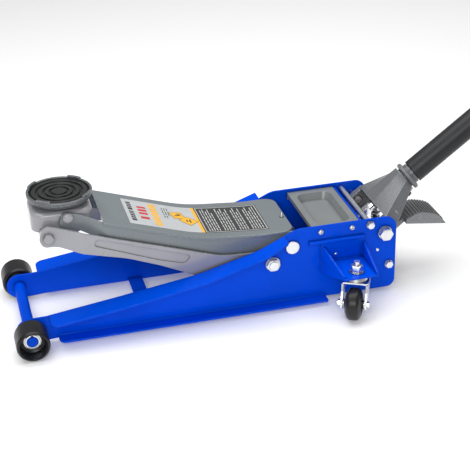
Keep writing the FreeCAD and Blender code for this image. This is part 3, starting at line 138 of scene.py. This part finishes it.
def make_studio():
    scene = bpy.context.scene
    scene.view_settings.view_transform = "Standard"
    world = bpy.data.worlds.new("studio")
    scene.world = world
    world.use_nodes = True
    tree = world.node_tree
    tree.nodes["Background"].inputs["Color"].default_value = (1.0, 1.0, 1.0, 1.0)
    strength = tree.nodes.new("ShaderNodeMapRange")      # pale where it is seen, dimmer as a light
    strength.inputs["To Min"].default_value = 0.36
    strength.inputs["To Max"].default_value = 0.90
    rays = tree.nodes.new("ShaderNodeLightPath")
    tree.links.new(rays.outputs["Is Camera Ray"], strength.inputs["Value"])
    tree.links.new(strength.outputs["Result"], tree.nodes["Background"].inputs["Strength"])
    mesh = bpy.data.meshes.new("floor")
    mesh.from_pydata([(-8, -8, 0), (8, -8, 0), (8, 8, 0), (-8, 8, 0)], [], [(0, 1, 2, 3)])
    floor = bpy.data.objects.new("floor", mesh)
    scene.collection.objects.link(floor)
    floor.location.z = -0.0005
    paint = bpy.data.materials.new("floor")
    paint.use_nodes = True
    shader = paint.node_tree.nodes["Principled BSDF"]
    shader.inputs["Base Color"].default_value = (0.93, 0.93, 0.93, 1.0)
    shader.inputs["Roughness"].default_value = 0.7
    shader.inputs["Emission Color"].default_value = (1.0, 1.0, 1.0, 1.0)
    shader.inputs["Emission Strength"].default_value = 0.12
    mesh.materials.append(paint)
    jack = (-0.4, 0.0, 0.1)
    area_light("overhead", (-0.5, 0.4, 2.5), jack, 3.4, 2.2, 64.0)
    area_light("front", (-1.3, -2.4, 1.6), jack, 1.8, 1.0, 34.0)


# ---- materials ------------------------------------------------------------------------------
class Nodes:
    """Short names for building a node tree."""

    def __init__(self, name):
        self.material = bpy.data.materials.new(name)
        self.material.use_nodes = True
        self.tree = self.material.node_tree
        self.shader = self.tree.nodes["Principled BSDF"]
        coordinates = self.tree.nodes.new("ShaderNodeTexCoord")
        self.object = coordinates.outputs["Object"]

    def add(self, kind, **inputs):
        node = self.tree.nodes.new(kind)
        for key, value in inputs.items():
            self.put(node.inputs[key.replace("_", " ")], value)
        return node

    def put(self, socket, value):
        if isinstance(value, bpy.types.NodeSocket):
            self.tree.links.new(value, socket)
        else:
            socket.default_value = value

    def noise(self, scale, detail=3.0, roughness=0.5, vector=None):
        node = self.add("ShaderNodeTexNoise", Vector=vector or self.object, Scale=scale, Detail=detail)
        node.inputs["Roughness"].default_value = roughness
        return node.outputs["Fac"]

    def stretched(self, factors):
        """Object coordinates scaled on each axis, for a grain that runs one way."""
        node = self.add("ShaderNodeVectorMath", Vector=self.object)
        node.operation = "MULTIPLY"
        node.inputs[1].default_value = factors
        return node.outputs["Vector"]

    def ramp(self, value, low, high, to_low=0.0, to_high=1.0):
        node = self.tree.nodes.new("ShaderNodeMapRange")
        self.put(node.inputs["Value"], value)
        node.inputs["From Min"].default_value = low
        node.inputs["From Max"].default_value = high
        node.inputs["To Min"].default_value = to_low
        node.inputs["To Max"].default_value = to_high
        return node.outputs["Result"]

    def mix(self, share, first, second):
        """Colour between first and second. A mix node's colour sockets are inputs 6, 7 and output 2."""
        node = self.tree.nodes.new("ShaderNodeMix")
        node.data_type = "RGBA"
        self.put(node.inputs["Factor"], share)
        self.put(node.inputs[6], first)
        self.put(node.inputs[7], second)
        return node.outputs[2]

    def times(self, a, b):
        node = self.tree.nodes.new("ShaderNodeMath")
        node.operation = "MULTIPLY"
        self.put(node.inputs[0], a)
        self.put(node.inputs[1], b)
        return node.outputs[0]

    def plus(self, a, b):
        node = self.tree.nodes.new("ShaderNodeMath")
        node.operation = "ADD"
        self.put(node.inputs[0], a)
        self.put(node.inputs[1], b)
        return node.outputs[0]

    def rounded(self, radius):
        """Normal that rounds sharp edges, and how far each point is from flat."""
        bevel = self.tree.nodes.new("ShaderNodeBevel")
        bevel.samples = 4
        bevel.inputs["Radius"].default_value = radius
        geometry = self.tree.nodes.new("ShaderNodeNewGeometry")
        dot = self.tree.nodes.new("ShaderNodeVectorMath")
        dot.operation = "DOT_PRODUCT"
        self.tree.links.new(bevel.outputs["Normal"], dot.inputs[0])
        self.tree.links.new(geometry.outputs["Normal"], dot.inputs[1])
        return bevel.outputs["Normal"], self.ramp(dot.outputs["Value"], 0.98, 0.80)

    def crevice(self, distance):
        """Mask for painted shade: 0 in a tight corner or beside another piece, 1 in the open."""
        occlusion = self.tree.nodes.new("ShaderNodeAmbientOcclusion")
        occlusion.samples = 6
        occlusion.inputs["Distance"].default_value = distance
        return self.ramp(occlusion.outputs["AO"], 0.45, 0.92)

    def crevice_shaded(self, base, colour, distance, share):
        """Base colour, darkened by painted shade in crevices and beside other pieces."""
        return self.mix(self.ramp(self.crevice(distance), 0.0, 1.0, share, 0.0), base, shade(colour, 0.22))

    def bump(self, height, distance, strength, normal=None):
        node = self.tree.nodes.new("ShaderNodeBump")
        node.inputs["Strength"].default_value = strength
        node.inputs["Distance"].default_value = distance
        self.tree.links.new(height, node.inputs["Height"])
        if normal is not None:
            self.tree.links.new(normal, node.inputs["Normal"])
        return node.outputs["Normal"]


def shade(colour, factor):
    return tuple(min(1.0, c * factor) for c in colour[:3]) + (1.0,)


def painted(
        name, colour, roughness, coat=0.0, edge_gain=1.5, orange_peel=0.25, radius=1.0, gloss=0.5,
        rim=0.35):
    """Sprayed paint: slow tone changes, orange peel, dust specks, thinner and brighter on edges, the
    brightening partly wear and partly a painted highlight, and painted shade in crevices.
    """
    n = Nodes(name)
    normal, edge = n.rounded(radius * MM)
    tone = n.ramp(n.noise(9.0, 2.0), 0.3, 0.7)
    specks = n.ramp(n.noise(1900.0, 2.0), 0.69, 0.74)
    base = n.mix(tone, shade(colour, 0.93), shade(colour, 1.07))
    base = n.mix(n.times(specks, 0.3), base, shade(colour, 0.6))
    # edges: paint worn thin, and lighter as wear and as a painted highlight along them
    wear_and_edge_light = n.times(edge, n.ramp(n.noise(55.0, 5.0, 0.7), 0.42, 0.62))
    base = n.mix(n.times(wear_and_edge_light, rim), base, shade([c * 0.8 + 0.06 for c in colour], edge_gain))
    # painted shade in crevices and beside other pieces
    base = n.crevice_shaded(base, colour, 9.0 * MM, 0.75)
    rough = n.ramp(n.noise(26.0, 4.0), 0.3, 0.7, roughness * 0.8, roughness * 1.25)
    n.put(n.shader.inputs["Base Color"], base)
    n.put(n.shader.inputs["Roughness"], n.plus(rough, n.times(wear_and_edge_light, 0.12)))
    n.put(n.shader.inputs["Normal"], n.bump(n.noise(420.0, 3.0), 0.00025, orange_peel, normal))
    n.shader.inputs["Specular IOR Level"].default_value = gloss
    n.shader.inputs["Coat Weight"].default_value = coat
    n.shader.inputs["Coat Roughness"].default_value = 0.08
    return n.material


def plated(name, colour, roughness, grain=(900.0, 900.0, 900.0), radius=0.5, tint=(0.95, 0.97, 1.0)):
    """Bright metal: fine grain, patches of duller plating, dark specks, painted shade in crevices."""
    n = Nodes(name)
    normal, edge = n.rounded(radius * MM)
    tone = n.ramp(n.noise(70.0, 4.0), 0.3, 0.7)
    base = n.mix(tone, shade(colour, 0.88), shade([c * t for c, t in zip(colour, tint)], 1.06))
    spots = n.ramp(n.noise(650.0, 3.0, 0.6), 0.66, 0.74)
    base = n.mix(n.times(spots, 0.35), base, shade(colour, 0.45))
    # painted shade in crevices and beside other pieces
    base = n.crevice_shaded(base, colour, 5.0 * MM, 0.7)
    fine = n.noise(1.0, 2.0, 0.6, n.stretched(grain))
    n.put(n.shader.inputs["Base Color"], base)
    rough = n.ramp(fine, 0.3, 0.7, roughness * 0.7, roughness * 1.3)
    n.put(n.shader.inputs["Roughness"], n.plus(rough, n.times(edge, -0.05)))
    n.put(n.shader.inputs["Normal"], n.bump(fine, 0.0001, 0.25, normal))
    n.shader.inputs["Metallic"].default_value = 1.0
    return n.material


def cast(name, colour, roughness, scale=260.0, depth=0.5, metallic=0.0, radius=1.2, edge_highlight=2.2):
    """Sand-cast surface under a thin coat: pebbled, darker in the pits, a painted highlight on the edges and
    painted shade in crevices.
    """
    n = Nodes(name)
    normal, edge = n.rounded(radius * MM)
    pebble = n.noise(scale, 6.0, 0.65)
    patches = n.ramp(n.noise(22.0, 3.0), 0.3, 0.7)
    base = n.mix(n.ramp(pebble, 0.35, 0.65), shade(colour, 0.72), shade(colour, 1.18))
    base = n.mix(n.times(patches, 0.25), base, shade(colour, 0.8))
    # painted highlight along the edges
    base = n.mix(n.times(edge, 0.85), base, shade([c + 0.02 for c in colour], edge_highlight))
    # painted shade in crevices and beside other pieces
    base = n.crevice_shaded(base, colour, 9.0 * MM, 0.75)
    n.put(n.shader.inputs["Base Color"], base)
    n.put(n.shader.inputs["Roughness"], n.ramp(pebble, 0.3, 0.7, roughness * 1.2, roughness * 0.8))
    n.put(n.shader.inputs["Normal"], n.bump(pebble, 0.0006, depth, normal))
    n.shader.inputs["Metallic"].default_value = metallic
    return n.material


def moulded(name, colour, roughness, scale=1400.0, depth=0.35, radius=0.8, scuff_and_rim_sheen=1.8):
    """Rubber or nylon: fine pores, dusty scuffs, rims lighter as a painted highlight, painted shade in
    crevices.
    """
    n = Nodes(name)
    normal, edge = n.rounded(radius * MM)
    pores = n.noise(scale, 3.0, 0.6)
    scuffs = n.ramp(n.noise(48.0, 6.0, 0.75), 0.5, 0.68)
    base = n.mix(n.times(scuffs, 0.45), shade(colour, 0.92), shade(colour, scuff_and_rim_sheen))
    # painted highlight on the rims
    base = n.mix(n.times(edge, 0.35), base, shade(colour, scuff_and_rim_sheen * 1.15))
    # painted shade in crevices and beside other pieces
    base = n.crevice_shaded(base, colour, 6.0 * MM, 0.8)
    n.shader.inputs["Specular IOR Level"].default_value = 0.35
    n.put(n.shader.inputs["Base Color"], base)
    rough = n.ramp(pores, 0.3, 0.7, roughness * 0.9, roughness * 1.1)
    n.put(n.shader.inputs["Roughness"], n.plus(rough, n.times(scuffs, 0.08)))
    n.put(n.shader.inputs["Normal"], n.bump(pores, 0.0003, depth, normal))
    return n.material


def make_materials():
    return {
        "frame_paint": painted(
            "blue_gloss_paint", (0.0, 0.068, 0.67), 0.19, coat=0.12, radius=1.8, gloss=0.0, rim=0.5),
        "arm_paint": painted(
            "arm_grey_paint", (0.175, 0.200, 0.215), 0.28, coat=0.25, edge_gain=3.0, radius=1.8, rim=0.8),
        "link_paint": painted(
            "link_grey_paint", (0.32, 0.32, 0.345), 0.22, coat=0.5, edge_gain=2.0, radius=1.8, rim=0.8),
        "socket_paint": cast("socket_grey_paint", (0.16, 0.168, 0.178), 0.36, 380.0, 0.25, 0.15, 2.6, 4.2),
        "tray_paint": painted("tray_satin_grey", (0.20, 0.215, 0.22), 0.30, coat=0.2, edge_gain=2.4),
        "pedal_paint": cast("pedal_grey_paint", (0.23, 0.235, 0.245), 0.40, 420.0, 0.3, 0.1, 0.7, 2.2),
        "saddle_iron": cast("saddle_cast_grey", (0.13, 0.14, 0.145), 0.32, 300.0, 0.35, 0.35, 2.0, 4.2),
        "saddle_rubber": moulded("saddle_pad_rubber", (0.018, 0.020, 0.020), 0.40, 700.0, 0.4, 0.7, 3.2),
        "wheel_black": moulded("front_wheel_black", (0.010, 0.010, 0.012), 0.34, 900.0, 0.2, 1.2, 2.2),
        "caster_nylon": moulded("caster_nylon_black", (0.012, 0.012, 0.013), 0.33, 900.0, 0.2, 1.0, 2.2),
        "zinc": plated("bright_zinc", (0.80, 0.81, 0.82), 0.26),
        "bright_steel": plated("bright_steel", (0.74, 0.78, 0.84), 0.30, (90.0, 1600.0, 1600.0)),
        "chrome": plated("polished_chrome", (0.82, 0.83, 0.85), 0.10, radius=0.4),
        "cast_block": cast("pump_cast_iron", (0.055, 0.055, 0.058), 0.38, 300.0, 0.45, 0.5, 1.2, 2.6),
        "tank_black": painted("tank_black_paint", (0.02, 0.02, 0.022), 0.35, coat=0.2, edge_gain=2.4),
        "black_steel": plated("black_oxide_steel", (0.06, 0.06, 0.065), 0.36),
        "bronze": plated("sintered_bronze", (0.16, 0.125, 0.08), 0.42, tint=(1.0, 0.95, 0.85)),
        "seal_rubber": moulded("seal_rubber", (0.015, 0.015, 0.015), 0.5),
        "handle_paint": painted("handle_black_paint", (0.018, 0.018, 0.02), 0.32, coat=0.25, edge_gain=3.0),
        "sleeve_foam": moulded("handle_sleeve_rubber", (0.016, 0.017, 0.019), 0.38, 1700.0, 0.35, 1.0, 1.5),
        "grip_rubber": moulded("handle_grip_rubber", (0.016, 0.016, 0.017), 0.6, 1500.0, 0.5, 1.0, 2.0),
    }


# ---- labels on the lift arm -----------------------------------------------------------------
class ArmTop:
    """Finds the height of the arm's upper skin under a point given in millimetres."""

    def __init__(self):
        mesh = frame["nodes"]["lift_arm"].data
        self.tree = BVHTree.FromPolygons([v.co for v in mesh.vertices], [p.vertices for p in mesh.polygons])

    def point(self, x, y, lift):
        start = at(x, y, 400.0)
        hit = self.tree.ray_cast(start, Vector((0.0, 0.0, -1.0)))
        return hit[0] + Vector((0.0, 0.0, lift * MM))


class Print:
    """One ink of a label: patches that follow the arm's curved top, joined in one mesh."""

    def __init__(self, name, material, top, lift):
        self.name, self.material, self.top, self.lift = name, material, top, lift
        self.points, self.faces = [], []

    def patch(self, centre_xy, size, turn=0.0):
        """Rectangle of size (along X, along Y), turned about its centre, in steps of at most 6 mm along X and
        12 mm along Y.
        """
        columns = max(1, math.ceil(size[0] / 6.0))
        rows = max(1, math.ceil(size[1] / 12.0))
        first = len(self.points)
        for i in range(columns + 1):
            for j in range(rows + 1):
                u = size[0] * (i / columns - 0.5)
                v = size[1] * (j / rows - 0.5)
                x = centre_xy[0] + u * math.cos(turn) - v * math.sin(turn)
                y = centre_xy[1] + u * math.sin(turn) + v * math.cos(turn)
                self.points.append(self.top.point(x, y, self.lift))
        for i in range(columns):
            for j in range(rows):
                a = first + i * (rows + 1) + j
                self.faces.append((a, a + rows + 1, a + rows + 2, a + 1))

    def span(self, x0, x1, y0, y1):
        self.patch(((x0 + x1) / 2, (y0 + y1) / 2), (x1 - x0, y1 - y0))

    def finish(self):
        mesh = bpy.data.meshes.new(self.name)
        mesh.from_pydata(self.points, [], self.faces)
        mesh.update()
        mesh.materials.append(self.material)
        for polygon in mesh.polygons:
            polygon.use_smooth = True
        piece = bpy.data.objects.new(self.name, mesh)
        bpy.context.scene.collection.objects.link(piece)
        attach(piece, "lift_arm")


def printed(name, colour, roughness=0.32):
    """Ink on glossy film: faint mottling, rubbed patches and a soft ripple in the film."""
    n = Nodes(name)
    tone = n.ramp(n.noise(60.0, 4.0), 0.3, 0.7)
    rubbed = n.ramp(n.noise(130.0, 6.0, 0.7), 0.62, 0.74)
    base = n.mix(tone, shade(colour, 0.95), shade(colour, 1.04))
    n.put(n.shader.inputs["Base Color"], n.mix(n.times(rubbed, 0.25), base, (0.40, 0.42, 0.43, 1.0)))
    rough = n.ramp(n.noise(40.0, 3.0), 0.3, 0.7, roughness * 0.8, roughness * 1.3)
    n.put(n.shader.inputs["Roughness"], rough)
    n.put(n.shader.inputs["Normal"], n.bump(n.noise(90.0, 2.0), 0.0003, 0.2))
    return n.material


def word_bars(ink, x, width, y_from, y_to, lengths, gap):
    """A row of solid bars along Y for a printed line; a length of 0.1 leaves a wider space."""
    total = sum(lengths) + gap * (len(lengths) - 1)
    scale = (y_to - y_from) / total
    y = y_from
    for length in lengths:
        ink.span(x - width / 2, x + width / 2, y, y + length * scale)
        y += (length + gap) * scale


def make_labels():
    top = ArmTop()
    film = Print("label_light_film", printed("label_silver_film", (0.52, 0.54, 0.55), 0.3), top, 0.25)
    dark_film = Print("label_dark_film", printed("label_charcoal_film", (0.035, 0.037, 0.04)), top, 0.25)
    black = Print("label_black_print", printed("label_black_ink", (0.03, 0.03, 0.032)), top, 0.4)
    red = Print("label_red_print", printed("label_red_ink", (0.62, 0.03, 0.025)), top, 0.4)
    yellow = Print("label_yellow_print", printed("label_yellow_ink", (0.90, 0.48, 0.03)), top, 0.4)
    pale = Print("label_pale_print", printed("label_pale_ink", (0.62, 0.62, 0.60)), top, 0.4)
    gold = Print("label_icon_panels", yellow.material, top, 0.5)
    ink = Print("label_icon_marks", black.material, top, 0.6)

    half = LABEL_HALF_WIDTH
    film.span(FILM_START, BAND_START, -half, half)
    word_bars(black, 221.0, 9.0, -40.0, 44.0, [7, 5, 5, 4, 4, 0.1, 8, 5, 4, 5], 2.2)
    word_bars(red, 244.0, 17.0, -26.0, 30.0, [8, 0.1, 7, 7, 6], 4)
    word_bars(yellow, 267.0, 14.0, -46.0, 48.0, [7, 5, 6, 6, 5, 7, 6, 5, 6, 6], 1.8)
    for k in range(3):
        word_bars(black, 286.0 + 5.0 * k, 1.8, -4.0 + 10.0 * (k == 2), 40.0, [9, 6, 12, 8][k:], 3)
    for middle, (length, width), turn in ICON_PANELS:
        black.patch(middle, (length + ICON_RIM, width + ICON_RIM), math.radians(turn))
        gold.patch(middle, (length, width), math.radians(turn))
    ink.patch((313.0, 14.0), (13.0, 3.0), math.radians(30.0))
    ink.patch((316.0, 20.0), (9.0, 3.0), math.radians(-25.0))
    ink.patch((334.0, -7.0), (3.0, 14.0), 0.0)
    ink.patch((328.0, -7.0), (3.0, 8.0), 0.0)

    yellow.span(BAND_START, DARK_START, -half, half)
    dark_film.span(DARK_START, DARK_END, -half, half)
    left, right = DARK_START + 2.5, DARK_END - 2.0
    outer, line = half - 1.5, 1.5
    inner = outer - line
    pale.span(left, left + line, -inner, inner)
    pale.span(right - line, right, -inner, inner)
    pale.span(left, right, -outer, -inner)
    pale.span(left, right, inner, outer)
    for k in range(TEXT_LINES):
        x = left + 8.5 + TEXT_PITCH * k
        if k in PARAGRAPH_GAPS:
            continue
        ends = (44.0, 48.0, 38.0, 47.0, 30.0)[k % 5]
        word_bars(pale, x, 1.7, -49.0, ends, [11, 7, 14, 9, 12, 6, 13][k % 3:], 2.2)
    for layer in (film, dark_film, black, red, yellow, pale, gold, ink):
        layer.finish()


# ---- small fittings and welds ---------------------------------------------------------------
def rings_mesh(name, rings, material, body):
    """Closed mesh through rings of equal point counts, fanned shut at both ends."""
    count = len(rings[0])
    points = [p for loop in rings for p in loop]
    faces = []
    for r in range(len(rings) - 1):
        for k in range(count):
            a, b = r * count + k, r * count + (k + 1) % count
            faces.append((a, b, b + count, a + count))
    faces.append(tuple(reversed(range(count))))
    faces.append(tuple(range(len(points) - count, len(points))))
    mesh = bpy.data.meshes.new(name)
    mesh.from_pydata(points, [], faces)
    mesh.update()
    mesh.materials.append(material)
    for polygon in mesh.polygons[:-2]:
        polygon.use_smooth = True
    piece = bpy.data.objects.new(name, mesh)
    bpy.context.scene.collection.objects.link(piece)
    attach(piece, body)


def ring(middle, side, up, radius, count=12):
    turns = [2 * math.pi * k / count for k in range(count)]
    return [middle + (side * math.cos(t) + up * math.sin(t)) * radius for t in turns]


def weld_bead(name, start, end, materials):
    """Rippled fillet of weld metal between two points, under the frame's paint."""
    along = (end - start).normalized()
    side = along.orthogonal().normalized()
    up = along.cross(side)
    steps = int((end - start).length / (0.6 * MM))
    rings = []
    for k in range(steps + 1):
        share = k / steps
        taper = min(1.0, 6 * share + 0.3, 6 * (1 - share) + 0.3)
        radius = WELD_R * taper * (1 + 0.16 * math.sin(2 * math.pi * k / 5) + 0.06 * math.sin(1.7 * k))
        rings.append(ring(start.lerp(end, share), side, up, radius, 10))
    rings_mesh(name, rings, materials["frame_paint"], "frame")


def make_fittings(materials):
    """Welds round the caster brackets, and the grease nipple at the rear of the arm's top."""
    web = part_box("caster_bracket_right")[0].y / MM
    face = web + PLATE_THICKNESS
    runs = [(x, web, *BRACKET_WELD_Z) for x in BRACKET_X]
    runs += [(x, face, SHELF_Z, GUSSET_WELD_TOP) for x in GUSSET_X]
    for side, sign in (("right", 1), ("left", -1)):
        for k, (x, y, low, high) in enumerate(runs):
            weld_bead(f"weld_{side}_{k}", at(x, y * sign, low), at(x, y * sign, high), materials)
        start, end = (at(x, face * sign, SHELF_Z) for x in SHELF_X)
        weld_bead(f"weld_{side}_shelf", start, end, materials)
    foot = ArmTop().point(518.0, -13.0, -0.3)
    side, up = Vector((1.0, 0.0, 0.0)), Vector((0.0, 1.0, 0.0))
    hexagon = [(0.0, 4.2), (2.6, 4.2), (3.0, 3.8)]
    stem = [(3.0, 2.4), (5.2, 2.2), (5.8, 1.5), (6.4, 1.4), (7.4, 2.1), (8.4, 1.9), (9.0, 1.0)]
    for name, profile, count in (("nipple_hexagon", hexagon, 6), ("nipple_stem", stem, 16)):
        rings = [ring(foot + Vector((0.0, 0.0, h * MM)), side, up, r * MM, count) for h, r in profile]
        rings_mesh(name, rings, materials["zinc"], "lift_arm")


# ---- carried CAD nodes ----------------------------------------------------------------------
def smooth_group():
    """Joins coincident points and shades smoothly, except across edges sharper than 28 degrees."""
    group = bpy.data.node_groups.new("smooth_by_angle", "GeometryNodeTree")
    group.interface.new_socket("Geometry", in_out="INPUT", socket_type="NodeSocketGeometry")
    group.interface.new_socket("Geometry", in_out="OUTPUT", socket_type="NodeSocketGeometry")
    nodes, links = group.nodes, group.links
    start = nodes.new("NodeGroupInput")
    end = nodes.new("NodeGroupOutput")
    merge = nodes.new("GeometryNodeMergeByDistance")
    merge.inputs["Distance"].default_value = 2e-6
    faces = nodes.new("GeometryNodeSetShadeSmooth")
    faces.domain = "FACE"
    edges = nodes.new("GeometryNodeSetShadeSmooth")
    edges.domain = "EDGE"
    edges.inputs["Shade Smooth"].default_value = False
    angle = nodes.new("GeometryNodeInputMeshEdgeAngle")
    compare = nodes.new("FunctionNodeCompare")
    compare.data_type = "FLOAT"
    compare.operation = "GREATER_THAN"
    compare.inputs["B"].default_value = math.radians(28.0)
    links.new(start.outputs[0], merge.inputs["Geometry"])
    links.new(merge.outputs[0], faces.inputs["Geometry"])
    links.new(faces.outputs[0], edges.inputs["Geometry"])
    links.new(angle.outputs["Unsigned Angle"], compare.inputs["A"])
    links.new(compare.outputs[0], edges.inputs["Selection"])
    links.new(edges.outputs[0], end.inputs[0])
    return group


def dress_nodes(materials, group):
    for part in frame["record"]["subparts"]:
        obj = frame["nodes"][part["node"]]
        obj.data.materials.clear()
        obj.data.materials.append(materials[part["material_slot"]])
        smooth = obj.modifiers.new("smooth", "NODES")
        smooth.node_group = group


def make_spring(materials, group):
    """The plunger's spring: its coils copied in black steel and smoothed, left still where the imported
    spring stood, which is hidden.
    """
    coils = bpy.data.objects.new("spring_coils", frame["nodes"]["plunger_spring"].data.copy())
    bpy.context.scene.collection.objects.link(coils)
    coils.data.materials.clear()
    coils.data.materials.append(materials["black_steel"])
    coils.modifiers.new("smooth", "NODES").node_group = group
    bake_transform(coils)
    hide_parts("plunger_spring")


make_camera()
make_studio()
materials = make_materials()
smooth_by_angle = smooth_group()
dress_nodes(materials, smooth_by_angle)
make_spring(materials, smooth_by_angle)
make_labels()
make_fittings(materials)
